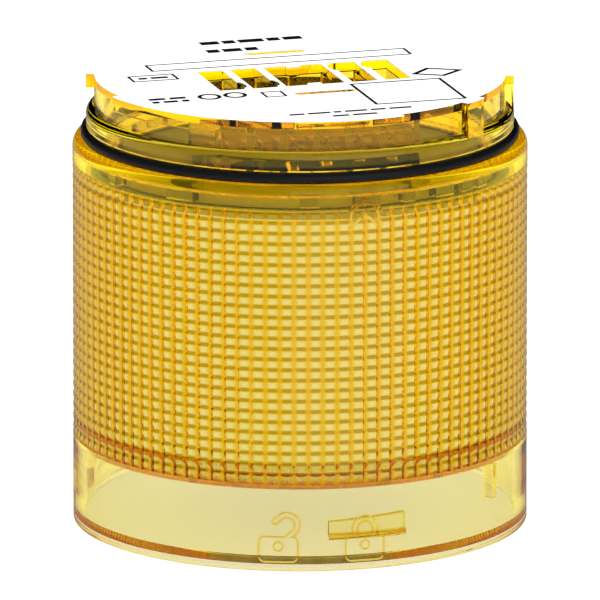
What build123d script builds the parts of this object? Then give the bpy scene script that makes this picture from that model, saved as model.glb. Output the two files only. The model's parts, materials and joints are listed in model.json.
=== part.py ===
from build123d import *
from math import cos, degrees, radians, sin, sqrt
import os

# One light module of a stacking signal tower. An amber lens stands over a floor plate, with a
# plug-in neck on top and a socket skirt below, so that the next module twists on above.
# Origin: centre of the bottom rim. +Z points up the tower. -Y is the front, where the index
# mark and the closed padlock are. Angles are counted from the front towards +X, in degrees.

os.makedirs("parts", exist_ok=True)

# ---- Lens: radii, then heights from the bottom rim
BODY_R = 30.0            # outside of the module
SKIRT_WALL = 1.5         # wall of the socket skirt at its sealing land
RIM_EDGE = 0.19          # wall at the very bottom, inside its chamfer
CHAMFER_H = 0.6          # height of that chamfer
RIM_WALL = 0.5           # wall left above it by the counterbore
EDGE_ROUND = 0.08        # round on the outer bottom edge
COUNTERBORE_H = 0.85     # top of the counterbore
LEAD_H = 1.8             # top of the cone above it, which presses on the seal
LAND_TOP = 3.85          # top of the sealing land
RELIEF = 0.2             # how much wider the skirt gets from the land up to the floor plate
SKIRT_H = 10.8           # skirt depth, up to the floor plate
FLANGE_T = 0.8           # edge of the floor plate
BAND_H = 36.6            # prismatic band
RING_COUNT = 26          # rings around its outside
RING_DEPTH = 0.15
FLUTE_COUNT = 100        # upright flutes inside it
FLUTE_DEPTH = 0.3
BAND_WALL = 1.65         # wall between the rings' crests and the flutes' roots
SMOOTH_H = 2.2           # smooth strip above the band
SHOULDER = 1.5           # round of the shoulder
LIP_W = 0.1              # flat top of the lip around the seal
SEAT_RISE = 0.95         # seal seat above the start of the shoulder
ROOF_T = 1.45            # thickness of the lens's roof ring

# ---- Neck
PLUG_CLEAR = 0.3         # radial clearance of the plug-in neck in a skirt
STEP_D = 1.1             # how far collar and rim stand out from the neck
NECK_WALL = 1.2
NECK_STEP = 0.4          # step by which the neck rests on the seal seat
SLIP = 0.1               # radial gap between the neck and the roof ring
SEAL_R = 0.9             # radius of the seal's section
SEAL_GAP = 0.02          # gap that keeps the seal clear of its groove
COLLAR_H = 1.45          # straight part of the collar
RECESS_H = 2.3           # gap between collar and rim, where the lugs run
RIM_H = 1.85
TOP_T = 1.25             # top plate
LABEL_T = 0.15
TAIL_H = 1.9             # how far the neck reaches below the roof ring
KEY_H = 1.4              # height of the snap keys under the roof ring
KEY_CLEAR = 0.15

# ---- Twist lock
LOCK_TURN = 22.0
LUGS = ((1.5, 21.0), (124.5, 24.0), (247.0, 27.0))   # centre and width of each lug
LUG_PLAY = 0.08          # height play of a lug over the collar
LUG_SLOPE = 0.65         # how much lower a lug's leading end is
LUG_DEPTH = 1.05
LUG_HAUNCH = 0.76        # how much lower a lug's underside is at the wall than at its tip
GAP_PLAY = 0.75          # degrees free on each side of a lug in its entry gap
SEAT_PLAY = 0.02         # clearance of a bottom rim over a shoulder
STOP_END = 42.2          # far edge of the stop block
STOP_PLAY = 0.4          # degrees left between stop block and stop rib
FREE_END = 70.0          # far edge of the stop rib's recess
GUARD_END = 80.0         # far edge of the block behind it
BLOCK_INSET = 0.05       # how far the two blocks stand inside collar and rim
RIB_W = 1.0
RIB_Z = 6.0              # underside of the stop rib
KEYS = ((-75.5, -72.5), (-53.5, -45.5), (-16.5, -11.5), (-2.0, 5.0),
        (11.5, 15.0), (21.5, 27.5), (30.5, 34.5), (36.5, 40.5))

# ---- Contacts
LINE_COUNT = 6
LINE_PITCH = 4.52
WINDOW_W = 3.5
WINDOW_FRONT = -7.4
WINDOW_BACK = 4.0
NOTCH_W = 0.7            # bite into a rib where a blade enters unlocked
NOTCH_L = 3.5
NOTCH_IN = 0.8           # from the window's end to the bite
TAB_W = 1.8              # tabs left at both ends of the joined middle window
TAB_L = 1.0
SLOT_L = 8.4             # two oblong vents beside the windows
SLOT_W = 1.5
SLOT_Y = 11.8
SOCKET_WALL = 0.85
SOCKET_FLOOR = 2.0
MIDDLE_DROP = 2.6        # how much lower the middle rib stands
STRIP_T = 0.8
STRIP_W = 2.4
STRIP_Y = -1.5
BLADE_REACH = 3.98       # how far a blade reaches into the top of the module below
BLADE_TAPER = 0.7
SHOULDER_W = 0.5         # stop shoulders on the strip, each side
SHOULDER_H = 1.1
SLOT_CLEAR = 0.05        # strip in its slots in the floor plate and socket block
LOOSE_CLEAR = 0.3        # strip in the boards and the reflector
CLIP_W = 1.7
CLIP_H = 1.7
FOOT_R = 0.45            # rolled foot of the spring
FOOT_CLEAR = 0.1
FOOT_SINK = 0.3          # foot axis below the clip's top
LEAF_T = 0.3
LEAF_W = 2.0
LEAF_SIDE = 1.0          # leaf beside the blade
LEAF_BULGE = 0.2         # contact bulge, from the blade's centre plane
LEAF_FLARE = 0.9
LEAF_BEND = 0.4          # radius of its bends
LEAF_RISES = (0.9, 2.6, 3.8, 5.3, 6.3)   # heights of the leaf's bends above its foot

# ---- Boards and light
PLATE_T = 2.1            # floor plate
PLATE_GAP = 0.1          # floor plate edge in the skirt
PLATE_STEP = 2.0         # edge flange width
POST_H = 1.6
POST_R = 2.2
POST_INSET = 3.5         # screw posts, in from the edge of the driver board
POST_ANGLES = (90.0, 210.0, 330.0)
PILOT_R = 1.0
SCREW_R = 0.95
SCREW_HEAD_R = 1.9
SCREW_HEAD_H = 1.2
SCREW_GRIP = 2.6         # screw length below the board
DRIVE_W = 0.5            # cross recess
BOARD_T = 1.6
BOARD_GAP = 2.5          # between the driver board's edge and the sleeve
LED_BOARD_T = 1.0
LED_BOARD_Y = 10.0
LED_BOARD_INSET = 2.0    # its corners stand this far inside the edge of the driver board
LED_BOARD_ROUND = 1.0
LED_HOLE_R = 1.0
LED_HOLE_INSET = 2.5
LED_COLUMNS = 4
LED_ROWS = 5
LED_EDGE = 3.25          # from the side of the board to the first package
LED_W = 3.5
LED_H = 2.8
LED_T = 1.9
LED_LENS_R = 1.2
LED_LENS_H = 0.3
HEADER_L = 20.0
HEADER_T = 2.5
HEADER_H = 3.0
HEADER_CHAMFER = 0.3
PART_Y = 4.0             # row of large components, behind the strips
RECTIFIER_X = -9.0
RECTIFIER = (6.0, 5.0, 2.6)
RECTIFIER_CHAMFER = 0.4
CAPACITOR_X = 9.0
CAPACITOR_R = 2.5
CAPACITOR_H = 8.0
CAPACITOR_ROUND = 0.5
CHIP = (5.0, 4.0, 1.5)
CHIP_LEADS = 4           # on each side
CHIP_PITCH = 1.2
LEAD = (0.4, 0.9, 0.7)
RESISTOR_Y = -5.0
RESISTOR_COUNT = 4
RESISTOR_PITCH = 6.0
RESISTOR = (3.2, 1.6, 0.6)
SLEEVE_GAP = 2.55        # between the flutes and the sleeve
SLEEVE_T = 1.0
REFLECTOR_T = 1.0
REFLECTOR_GAP = 0.45

# ---- Moulded marks: two plain padlocks on the skirt, and an index mark above the band
ENGRAVE = 0.28           # depth, measured in from the tangent plane
PADLOCK_W = 5.2
PADLOCK_LOW = 1.2
PADLOCK_HIGH = 4.6       # top of the padlock's body
PADLOCK_ROUND = 0.8
KEYHOLE_R = 0.6
KEYHOLE_Z = 3.3
SHACKLE_R = 1.35         # to the middle of the shackle
SHACKLE_W = 0.7
SHACKLE_LEG = 0.9
SHACKLE_SINK = 0.3       # how far its legs reach into the body
OPEN_LEAN = 50.0         # turn of the open padlock's shackle
INDEX_DROP = 2.0         # foot of the index mark, below the top of the band
INDEX_HALF = 2.0
CHEVRON_RISE = 1.8
ARCH_FOOT = 1.4
ARCH_RISE = 1.8
INDEX_LINE = 0.44

# ---- Radii and levels that follow from these
bore_r = BODY_R - SKIRT_WALL
rim_in = BODY_R - RIM_WALL
edge_in = BODY_R - RIM_EDGE
relief_r = bore_r + RELIEF
root_r = BODY_R - BAND_WALL
tip_r = root_r - FLUTE_DEPTH
chamber_r = tip_r - FLUTE_DEPTH
ring_root = BODY_R - RING_DEPTH
plug_r = bore_r - PLUG_CLEAR
neck_r = plug_r - STEP_D
tail_r = neck_r - NECK_STEP
lug_r = bore_r - LUG_DEPTH
lip_in = neck_r + 2 * SEAL_R + 3 * SEAL_GAP
lip_out = lip_in + LIP_W
shoulder_mid = BODY_R - SHOULDER

band_z = SKIRT_H + FLANGE_T
band_top = band_z + BAND_H
side_z = band_top + SMOOTH_H
seat_z = side_z + SEAT_RISE
lip_z = side_z + sqrt(SHOULDER ** 2 - (lip_out - shoulder_mid) ** 2)
roof_z = seat_z - ROOF_T
tail_z = roof_z - TAIL_H
collar_z = seat_z + 2 * SEAL_R + 2 * SEAL_GAP
collar_top = collar_z + COLLAR_H + STEP_D
rim_z = collar_top + RECESS_H
top_z = rim_z + RIM_H
top_under = top_z - TOP_T
plate_top = SKIRT_H + PLATE_T
board_z = plate_top + POST_H
board_top = board_z + BOARD_T
reflector_z = tail_z - REFLECTOR_T
sleeve_r = tip_r - SLEEVE_GAP
board_r = sleeve_r - SLEEVE_T - BOARD_GAP
post_circle = board_r - POST_INSET
led_face_y = LED_BOARD_Y + LED_BOARD_T / 2
led_board_w = 2 * sqrt((board_r - LED_BOARD_INSET) ** 2 - led_face_y ** 2)
led_board_h = reflector_z - board_top
led_pitch = (led_board_w - LED_W - 2 * LED_EDGE) / (LED_COLUMNS - 1)
led_row_pitch = led_board_h / (LED_ROWS + 1)

# The bottom rim of the module above comes to rest on the shoulder's round at this pitch.
stack_pitch = side_z + sqrt(SHOULDER ** 2 - (edge_in - shoulder_mid) ** 2) + SEAT_PLAY

lug_z = collar_top + LUG_PLAY - stack_pitch
lug_top = rim_z - stack_pitch
haunch = LUG_HAUNCH / LUG_DEPTH
haunch_r = relief_r + RELIEF
lug_low = lug_z - haunch * (haunch_r - lug_r)
blade_z = top_z + LABEL_T - BLADE_REACH - stack_pitch
rib_half = degrees(RIB_W / 2 / lug_r)
rib_angle = STOP_END + STOP_PLAY + rib_half
gaps = [(mid - wide / 2 + LOCK_TURN - GAP_PLAY, mid + wide / 2 + LOCK_TURN + GAP_PLAY)
        for mid, wide in LUGS]
line_x = [(index - (LINE_COUNT - 1) / 2) * LINE_PITCH for index in range(LINE_COUNT)]
window_l = WINDOW_BACK - WINDOW_FRONT
window_y = (WINDOW_BACK + WINDOW_FRONT) / 2
socket_floor_z = tail_z + SOCKET_FLOOR
foot_z = socket_floor_z + CLIP_H - FOOT_SINK
strip_front = STRIP_Y - STRIP_W / 2
strip_back = STRIP_Y + STRIP_W / 2


def at(angle, radius):
    """The point at this angle from the front."""
    return (radius * sin(radians(angle)), -radius * cos(radians(angle)))


def sector(r_in, r_out, start, end, mode=Mode.ADD):
    """Adds a ring sector to the sketch being made, or cuts one from it."""
    with BuildLine() as edge:
        CenterArc((0, 0), r_in, start - 90, end - start)
        CenterArc((0, 0), r_out, start - 90, end - start)
        Line(at(start, r_in), at(start, r_out))
        Line(at(end, r_in), at(end, r_out))
    make_face(edge.edges(), mode=mode)


def outward(angle, radius):
    """The plane that touches a cylinder of this radius: x runs along it, y runs up."""
    return Plane(origin=(*at(angle, radius), 0), x_dir=(*at(angle + 90, 1), 0), z_dir=(*at(angle, 1), 0))


def strip_slots(clear):
    """Adds the six strip slots, wider by this clearance, to the sketch being made."""
    for x in line_x:
        with Locations((x, STRIP_Y)):
            Rectangle(STRIP_T + 2 * clear, STRIP_W + 2 * clear, mode=Mode.SUBTRACT)


def windows():
    """Cuts the contact windows, their notches and the two vents from the sketch being made."""
    for index, x in enumerate(line_x):
        with Locations((x, window_y)):
            Rectangle(WINDOW_W, window_l, mode=Mode.SUBTRACT)
        left_side = index < LINE_COUNT // 2 - 1
        right_side = index > LINE_COUNT // 2
        if left_side:
            with Locations((x + WINDOW_W / 2, WINDOW_FRONT + NOTCH_L / 2 + NOTCH_IN)):
                Ellipse(NOTCH_W, NOTCH_L / 2, mode=Mode.SUBTRACT)
        if right_side:
            with Locations((x - WINDOW_W / 2, WINDOW_BACK - NOTCH_L / 2 - NOTCH_IN)):
                Ellipse(NOTCH_W, NOTCH_L / 2, mode=Mode.SUBTRACT)
    with Locations((0, window_y)):
        Rectangle(LINE_PITCH, window_l - 2 * TAB_L, mode=Mode.SUBTRACT)
    for end in (WINDOW_FRONT + TAB_L / 2, WINDOW_BACK - TAB_L / 2):
        with Locations((0, end)):
            Rectangle(TAB_W, TAB_L)
    with Locations((0, SLOT_Y), (0, -SLOT_Y)):
        SlotOverall(SLOT_L, SLOT_W, mode=Mode.SUBTRACT)


def padlock(lean):
    """Adds a padlock to the sketch being made. Its shackle is turned by lean degrees about one leg."""
    with Locations((0, (PADLOCK_LOW + PADLOCK_HIGH) / 2)):
        RectangleRounded(PADLOCK_W, PADLOCK_HIGH - PADLOCK_LOW, PADLOCK_ROUND)
    with Locations((0, KEYHOLE_Z)):
        Circle(KEYHOLE_R, mode=Mode.SUBTRACT)
    foot = PADLOCK_HIGH - SHACKLE_SINK
    bend = PADLOCK_HIGH + SHACKLE_LEG
    with BuildLine() as shackle:
        Line((-SHACKLE_R, foot), (-SHACKLE_R, bend))
        ThreePointArc((-SHACKLE_R, bend), (0, bend + SHACKLE_R), (SHACKLE_R, bend))
        Line((SHACKLE_R, bend), (SHACKLE_R, foot))
    hinge = Axis((SHACKLE_R, PADLOCK_HIGH, 0), (0, 0, 1))
    trace([edge.rotate(hinge, -lean) for edge in shackle.edges()], line_width=SHACKLE_W)


# ---- Lugs and stop rib, which stand inside the skirt
with BuildPart() as skirt_keys:
    for mid, wide in LUGS:
        half = lug_r * sin(radians(wide / 2))
        with BuildSketch(outward(mid, lug_r * cos(radians(wide / 2)) - STEP_D)):
            with BuildLine():
                Polyline((-half, lug_low), (half, lug_low), (half, lug_top), (-half, lug_top - LUG_SLOPE),
                         close=True)
            make_face()
        extrude(amount=4 * STEP_D)
    with BuildSketch(Plane.XY.offset(RIB_Z)):
        sector(lug_r - STEP_D, BODY_R, rib_angle - rib_half, rib_angle + rib_half)
    extrude(amount=SKIRT_H - RIB_Z)
    with BuildSketch():
        Circle(haunch_r)
        Circle(lug_r, mode=Mode.SUBTRACT)
    extrude(amount=SKIRT_H, mode=Mode.INTERSECT)
    with BuildSketch(Plane.XZ):
        with BuildLine():
            Polyline((lug_r - STEP_D, lug_z + haunch * STEP_D), (haunch_r, lug_low),
                     (lug_r - STEP_D, lug_low), close=True)
        make_face()
    revolve(axis=Axis.Z, mode=Mode.SUBTRACT)

# ---- Lens
with BuildPart() as lens:
    with BuildSketch(Plane.XZ):
        with BuildLine():
            Line((edge_in, 0), (BODY_R - EDGE_ROUND, 0))
            RadiusArc((BODY_R - EDGE_ROUND, 0), (BODY_R, EDGE_ROUND), -EDGE_ROUND)
            Line((BODY_R, EDGE_ROUND), (BODY_R, band_z))
            Line((BODY_R, band_z), (ring_root, band_z))
            pitch = BAND_H / RING_COUNT
            for ring in range(RING_COUNT):
                low = band_z + ring * pitch
                high = low + pitch
                ThreePointArc((ring_root, low), (BODY_R, low + pitch / 2), (ring_root, high))
            Line((ring_root, band_top), (BODY_R, band_top))
            Line((BODY_R, band_top), (BODY_R, side_z))
            RadiusArc((BODY_R, side_z), (lip_out, lip_z), -SHOULDER)
            Polyline((lip_out, lip_z), (lip_in, lip_z), (lip_in, seat_z), (tail_r + SLIP, seat_z),
                     (tail_r + SLIP, roof_z), (root_r, roof_z), (root_r, band_top), (chamber_r, band_top),
                     (chamber_r, band_z), (bore_r, band_z), (bore_r, SKIRT_H), (relief_r, SKIRT_H),
                     (bore_r, LAND_TOP), (bore_r, LEAD_H), (rim_in, COUNTERBORE_H),
                     (rim_in, CHAMFER_H), (edge_in, 0))
        make_face()
    revolve(axis=Axis.Z)
    with BuildSketch(Plane.XY.offset(band_z)):
        with BuildLine():
            step = 360 / FLUTE_COUNT
            for flute in range(FLUTE_COUNT):
                turn = flute * step
                ThreePointArc(at(turn, root_r), at(turn + step / 2, tip_r), at(turn + step, root_r))
        make_face()
    extrude(amount=BAND_H, mode=Mode.SUBTRACT)
    add(skirt_keys.part)
    for angle, lean in ((0, 0), (-LOCK_TURN, OPEN_LEAN)):
        with BuildSketch(outward(angle, BODY_R)):
            padlock(lean)
        extrude(amount=-ENGRAVE, mode=Mode.SUBTRACT)
    with BuildSketch(outward(0, BODY_R)):
        mark_z = band_top - INDEX_DROP
        arch_z = mark_z + ARCH_FOOT
        with BuildLine():
            Polyline((-INDEX_HALF, mark_z), (0, mark_z + CHEVRON_RISE), (INDEX_HALF, mark_z))
            ThreePointArc((-INDEX_HALF, arch_z), (0, arch_z + ARCH_RISE), (INDEX_HALF, arch_z))
        trace(line_width=INDEX_LINE)
    extrude(amount=-ENGRAVE, mode=Mode.SUBTRACT)
lens.part.label = "lens"
export_step(lens.part, "parts/lens.step")

# ---- Neck housing, pushed into the roof ring from above and held by its snap keys
with BuildPart() as neck_housing:
    with BuildSketch(Plane.XZ):
        with BuildLine():
            Polyline((tail_r - NECK_WALL, tail_z), (tail_r, tail_z), (tail_r, seat_z), (neck_r, seat_z),
                     (neck_r, collar_z), (plug_r, collar_z), (plug_r, collar_z + COLLAR_H))
            RadiusArc((plug_r, collar_z + COLLAR_H), (neck_r, collar_top), -STEP_D)
            Polyline((neck_r, collar_top), (neck_r, rim_z), (plug_r, rim_z), (plug_r, top_z),
                     (neck_r - NECK_WALL, top_z), (neck_r - NECK_WALL, seat_z),
                     (tail_r - NECK_WALL, seat_z), (tail_r - NECK_WALL, tail_z))
        make_face()
    revolve(axis=Axis.Z)
    with BuildSketch(Plane.XY.offset(collar_top)):
        for start, end in gaps + [(STOP_END, FREE_END)]:
            sector(neck_r, plug_r + STEP_D, start, end)
    extrude(amount=top_z - collar_top, mode=Mode.SUBTRACT)
    with BuildSketch(Plane.XY.offset(collar_z + COLLAR_H)):
        for start, end in ((gaps[0][1], STOP_END), (FREE_END, GUARD_END)):
            sector(neck_r - NECK_WALL / 2, plug_r - BLOCK_INSET, start, end)
    extrude(amount=top_z - collar_z - COLLAR_H)
    with BuildSketch(Plane.XY.offset(roof_z - KEY_H)):
        for turn in (0, 180):
            for start, end in KEYS:
                sector(tail_r - NECK_WALL / 2, root_r - KEY_CLEAR, start + turn, end + turn)
    extrude(amount=KEY_H)
    with BuildSketch(Plane.XY.offset(top_under)):
        Circle(neck_r - NECK_WALL / 2)
        windows()
    extrude(amount=TOP_T)
neck_housing.part.label = "neck_housing"
export_step(neck_housing.part, "parts/neck_housing.step")

# ---- Seal ring
with BuildPart() as o_ring:
    with BuildSketch(Plane.XZ):
        with Locations((neck_r + SEAL_R + SEAL_GAP, seat_z + SEAL_R + SEAL_GAP)):
            Circle(SEAL_R)
    revolve(axis=Axis.Z)
o_ring.part.label = "o_ring"
export_step(o_ring.part, "parts/o_ring.step")

# ---- Label film
with BuildPart() as label:
    with BuildSketch(Plane.XY.offset(top_z)):
        Circle(plug_r)
        for start, end in gaps + [(STOP_END, FREE_END)]:
            sector(neck_r, plug_r + STEP_D, start, end, mode=Mode.SUBTRACT)
        windows()
    extrude(amount=LABEL_T)
label.part.label = "label"
export_step(label.part, "parts/label.step")

# ---- Floor plate that carries the contact strips
with BuildPart() as contact_carrier:
    with BuildSketch(Plane.XY.offset(SKIRT_H)):
        Circle(bore_r - PLATE_GAP)
        strip_slots(SLOT_CLEAR)
    extrude(amount=FLANGE_T)
    with BuildSketch(Plane.XY.offset(band_z)):
        Circle(bore_r - PLATE_STEP)
        strip_slots(SLOT_CLEAR)
    extrude(amount=plate_top - band_z)
    with BuildSketch(Plane.XY.offset(plate_top)):
        with Locations([at(angle, post_circle) for angle in POST_ANGLES]):
            Circle(POST_R)
            Circle(PILOT_R, mode=Mode.SUBTRACT)
    extrude(amount=POST_H)
contact_carrier.part.label = "contact_carrier"
export_step(contact_carrier.part, "parts/contact_carrier.step")

# ---- Driver board and what is on it
with BuildPart() as driver_board:
    with BuildSketch(Plane.XY.offset(board_z)):
        Circle(board_r)
        strip_slots(LOOSE_CLEAR)
        with Locations([at(angle, post_circle) for angle in POST_ANGLES]):
            Circle(PILOT_R + SLIP, mode=Mode.SUBTRACT)
    extrude(amount=BOARD_T)
driver_board.part.label = "driver_board"
export_step(driver_board.part, "parts/driver_board.step")

with BuildPart() as board_screws:
    for angle in POST_ANGLES:
        with Locations((*at(angle, post_circle), board_top)):
            Cylinder(SCREW_HEAD_R, SCREW_HEAD_H, align=(Align.CENTER, Align.CENTER, Align.MIN))
            Cylinder(SCREW_R, SCREW_GRIP, align=(Align.CENTER, Align.CENTER, Align.MAX))
        with Locations((*at(angle, post_circle), board_top + SCREW_HEAD_H)):
            Box(2 * SCREW_R, DRIVE_W, SCREW_HEAD_H, mode=Mode.SUBTRACT)
            Box(DRIVE_W, 2 * SCREW_R, SCREW_HEAD_H, mode=Mode.SUBTRACT)
board_screws.part.label = "board_screws"
export_step(board_screws.part, "parts/board_screws.step")

with BuildPart() as rectifier:
    with Locations((RECTIFIER_X, PART_Y, board_top)):
        Box(*RECTIFIER, align=(Align.CENTER, Align.CENTER, Align.MIN))
    chamfer(rectifier.edges().filter_by(Axis.X).group_by(Axis.Z)[-1], RECTIFIER_CHAMFER)
rectifier.part.label = "rectifier"
export_step(rectifier.part, "parts/rectifier.step")

with BuildPart() as capacitor:
    with Locations((CAPACITOR_X, PART_Y, board_top)):
        Cylinder(CAPACITOR_R, CAPACITOR_H, align=(Align.CENTER, Align.CENTER, Align.MIN))
    fillet(capacitor.edges().filter_by(GeomType.CIRCLE).sort_by(Axis.Z)[-1], CAPACITOR_ROUND)
capacitor.part.label = "capacitor"
export_step(capacitor.part, "parts/capacitor.step")

with BuildPart() as driver_chip:
    with Locations((0, PART_Y, board_top)):
        Box(*CHIP, align=(Align.CENTER, Align.CENTER, Align.MIN))
        with GridLocations(CHIP_PITCH, CHIP[1] + LEAD[1] - SLIP, CHIP_LEADS, 2):
            Box(*LEAD, align=(Align.CENTER, Align.CENTER, Align.MIN))
driver_chip.part.label = "driver_chip"
export_step(driver_chip.part, "parts/driver_chip.step")

with BuildPart() as resistors:
    with Locations((0, RESISTOR_Y, board_top)):
        with GridLocations(RESISTOR_PITCH, 1, RESISTOR_COUNT, 1):
            Box(*RESISTOR, align=(Align.CENTER, Align.CENTER, Align.MIN))
resistors.part.label = "resistors"
export_step(resistors.part, "parts/resistors.step")

# ---- Upright light-emitting boards, one facing forward and one facing back
with BuildPart() as board_connectors:
    for side in (-1, 1):
        with Locations((0, side * (LED_BOARD_Y - LED_BOARD_T / 2 - HEADER_T / 2), board_top)):
            Box(HEADER_L, HEADER_T, HEADER_H, align=(Align.CENTER, Align.CENTER, Align.MIN))
    chamfer(board_connectors.edges().filter_by(Axis.Z), HEADER_CHAMFER)
board_connectors.part.label = "board_connectors"
export_step(board_connectors.part, "parts/board_connectors.step")

for side, name in ((-1, "front"), (1, "back")):
    with BuildPart() as led_board:
        with BuildSketch(Plane.XZ.offset(-side * LED_BOARD_Y - LED_BOARD_T / 2)):
            with Locations((0, board_top + led_board_h / 2)):
                RectangleRounded(led_board_w, led_board_h, LED_BOARD_ROUND)
                with GridLocations(led_board_w - 2 * LED_HOLE_INSET, led_board_h - 2 * LED_HOLE_INSET, 2, 2):
                    Circle(LED_HOLE_R, mode=Mode.SUBTRACT)
        extrude(amount=LED_BOARD_T)
    led_board.part.label = f"led_board_{name}"
    export_step(led_board.part, f"parts/led_board_{name}.step")

    with BuildPart() as led_emitters:
        middle = (0, side * led_face_y, board_top + led_board_h / 2)
        with Locations(Plane(middle, x_dir=(1, 0, 0), z_dir=(0, side, 0))):
            with GridLocations(led_pitch, led_row_pitch, LED_COLUMNS, LED_ROWS):
                Box(LED_W, LED_H, LED_T, align=(Align.CENTER, Align.CENTER, Align.MIN))
                Cylinder(LED_LENS_R, LED_T + LED_LENS_H, align=(Align.CENTER, Align.CENTER, Align.MIN))
    led_emitters.part.label = f"led_emitters_{name}"
    export_step(led_emitters.part, f"parts/led_emitters_{name}.step")

# ---- Diffusing sleeve and the white reflector that closes the light chamber
with BuildPart() as diffuser:
    with BuildSketch(Plane.XY.offset(plate_top)):
        Circle(sleeve_r)
        Circle(sleeve_r - SLEEVE_T, mode=Mode.SUBTRACT)
    extrude(amount=reflector_z - plate_top)
diffuser.part.label = "diffuser"
export_step(diffuser.part, "parts/diffuser.step")

with BuildPart() as upper_reflector:
    with BuildSketch(Plane.XY.offset(reflector_z)):
        Circle(tip_r - REFLECTOR_GAP)
        strip_slots(LOOSE_CLEAR)
    extrude(amount=REFLECTOR_T)
upper_reflector.part.label = "upper_reflector"
export_step(upper_reflector.part, "parts/upper_reflector.step")

# ---- Socket block under the windows
socket_w = (LINE_COUNT - 1) * LINE_PITCH + WINDOW_W + 2 * SOCKET_WALL
with BuildPart() as socket_block:
    with BuildSketch(Plane.XY.offset(tail_z)):
        with Locations((0, window_y)):
            Rectangle(socket_w, window_l + 2 * SOCKET_WALL)
        strip_slots(SLOT_CLEAR)
    extrude(amount=top_under - tail_z)
    with BuildSketch(Plane.XY.offset(socket_floor_z)):
        for x in line_x:
            with Locations((x, window_y)):
                Rectangle(WINDOW_W, window_l)
    extrude(amount=top_under - socket_floor_z, mode=Mode.SUBTRACT)
    with BuildSketch(Plane.XY.offset(top_under - MIDDLE_DROP)):
        with Locations((0, window_y)):
            Rectangle(LINE_PITCH, window_l - 2 * TAB_L)
    extrude(amount=MIDDLE_DROP, mode=Mode.SUBTRACT)
socket_block.part.label = "socket_block"
export_step(socket_block.part, "parts/socket_block.step")

# ---- Contact strips with their blades below, and the springs that a blade pushes aside
for index, x in enumerate(line_x):
    with BuildPart() as bus_strip:
        with BuildSketch(Plane.YZ.offset(x - STRIP_T / 2)):
            with BuildLine():
                Polyline((strip_front + BLADE_TAPER, blade_z), (strip_back - BLADE_TAPER, blade_z),
                         (strip_back, blade_z + BLADE_TAPER), (strip_back, socket_floor_z),
                         (strip_front, socket_floor_z), (strip_front, blade_z + BLADE_TAPER), close=True)
            make_face()
            with Locations((STRIP_Y, plate_top + SHOULDER_H / 2)):
                Rectangle(STRIP_W + 2 * SHOULDER_W, SHOULDER_H)
        extrude(amount=STRIP_T)
        with Locations((x, STRIP_Y, socket_floor_z)):
            Box(CLIP_W, STRIP_W, CLIP_H, align=(Align.CENTER, Align.CENTER, Align.MIN))
        with BuildSketch(Plane.XZ.offset(-strip_back)):
            with Locations((x, foot_z)):
                Circle(FOOT_R + FOOT_CLEAR)
        extrude(amount=STRIP_W, mode=Mode.SUBTRACT)
    bus_strip.part.label = f"bus_strip_{index + 1}"
    export_step(bus_strip.part, f"parts/bus_strip_{index + 1}.step")

    with BuildPart() as contact_spring:
        with BuildSketch(Plane.XZ.offset(-STRIP_Y - LEAF_W / 2)):
            sides = (0, -LEAF_SIDE, -LEAF_SIDE, -LEAF_BULGE, -LEAF_FLARE)
            with BuildLine():
                bends = [(x + side, foot_z + rise) for side, rise in zip(sides, LEAF_RISES)]
                FilletPolyline((x, foot_z), *bends, radius=LEAF_BEND)
            trace(line_width=LEAF_T)
            with Locations((x, foot_z)):
                Circle(FOOT_R)
        extrude(amount=LEAF_W)
    contact_spring.part.label = f"contact_spring_{index + 1}"
    export_step(contact_spring.part, f"parts/contact_spring_{index + 1}.step")
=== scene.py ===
import json
import math

import bmesh
import bpy
import numpy as np
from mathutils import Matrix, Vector


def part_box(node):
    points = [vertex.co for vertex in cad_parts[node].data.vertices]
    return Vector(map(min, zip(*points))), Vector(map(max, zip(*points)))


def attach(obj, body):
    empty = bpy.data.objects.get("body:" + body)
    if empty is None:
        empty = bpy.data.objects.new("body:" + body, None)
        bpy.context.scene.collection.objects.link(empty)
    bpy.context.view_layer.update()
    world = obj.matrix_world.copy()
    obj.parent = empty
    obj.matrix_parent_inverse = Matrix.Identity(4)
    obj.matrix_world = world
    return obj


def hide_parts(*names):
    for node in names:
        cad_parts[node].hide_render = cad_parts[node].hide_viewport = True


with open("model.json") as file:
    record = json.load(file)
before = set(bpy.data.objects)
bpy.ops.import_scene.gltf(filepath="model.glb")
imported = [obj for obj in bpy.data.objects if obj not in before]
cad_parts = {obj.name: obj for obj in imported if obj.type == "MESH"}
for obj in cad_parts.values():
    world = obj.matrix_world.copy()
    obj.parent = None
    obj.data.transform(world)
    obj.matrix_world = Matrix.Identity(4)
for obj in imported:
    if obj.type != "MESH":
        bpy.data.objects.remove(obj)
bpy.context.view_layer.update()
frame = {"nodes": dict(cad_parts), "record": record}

# The visual model of an amber light module of a signal tower. Angles are counted in degrees from
# the front, -Y, towards +X. Lengths are in metres; MM turns a length in millimetres into one.
MM = 0.001
BODY = "module"
BOX_INSET = 0.005 * MM      # keeps the lens just inside the CAD model's box

# ---- Levels and radii read from the frame
lens_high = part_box("lens")[1]
seal_low, seal_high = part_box("o_ring")
neck_low, neck_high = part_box("neck_housing")
film_low, film_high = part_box("label")
plate_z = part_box("contact_carrier")[0].z
body_r = lens_high.x - BOX_INSET
lip_z = lens_high.z
seal_r = (seal_high.z - seal_low.z) / 2
seal_z = (seal_high.z + seal_low.z) / 2
seal_mid_r = seal_high.x - seal_r
plug_r = neck_high.x
top_z = neck_high.z
tail_z = neck_low.z
socket_bore = next(mount for mount in frame["record"]["mounts"] if mount["name"] == "socket_bore")
bore_r = socket_bore["dims"]["r_mm"] * MM

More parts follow.
